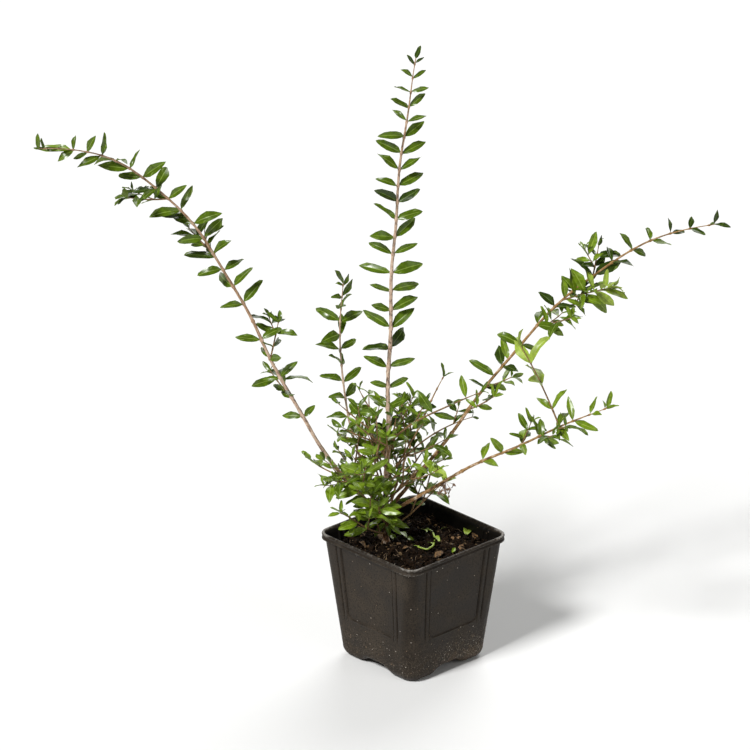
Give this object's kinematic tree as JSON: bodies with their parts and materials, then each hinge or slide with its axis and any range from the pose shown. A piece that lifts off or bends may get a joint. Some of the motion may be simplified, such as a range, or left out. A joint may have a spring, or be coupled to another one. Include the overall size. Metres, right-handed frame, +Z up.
{
  "type": "potted box honeysuckle shrub",
  "caption": "Young small-leaved evergreen shrub with arching shoots, in a square tapered plastic nursery pot filled with compost.",
  "frame": {"origin": "middle of the pot's flat underside", "axes": "+Z up, the plant's front faces -Y, and the pot's corners lie on the X and Y axes"},
  "size_m": [0.4342, 0.1716, 0.4192],
  "materials": {
    "pot_plastic": "dusty black moulded plastic",
    "soil": "moist peat compost",
    "bark": "thin grey-brown bark",
    "foliage": "glossy evergreen leaves"
  },
  "bodies": {
    "root": {"pot": "pot_plastic", "soil": "soil", "trunk": "bark", "bough_left": "bark", "bough_right_high": "bark", "bough_right_low": "bark", "bough_back": "bark", "bough_back_low": "bark", "foliage_upright": "foliage", "foliage_left": "foliage", "foliage_right_high": "foliage", "foliage_right_low": "foliage", "foliage_back": "foliage", "foliage_back_low": "foliage", "foliage_side_upper": "foliage", "foliage_side_lower": "foliage", "foliage_rosette": "foliage", "foliage_tuft_0": "foliage", "foliage_tuft_1": "foliage", "foliage_tuft_2": "foliage", "foliage_tuft_3": "foliage", "foliage_tuft_4": "foliage", "foliage_tuft_5": "foliage", "foliage_tuft_6": "foliage", "foliage_tuft_7": "foliage", "foliage_tuft_8": "foliage", "foliage_tuft_9": "foliage", "foliage_tuft_10": "foliage", "foliage_tuft_11": "foliage", "foliage_tuft_12": "foliage", "foliage_tuft_13": "foliage"}
  },
  "joints": []
}
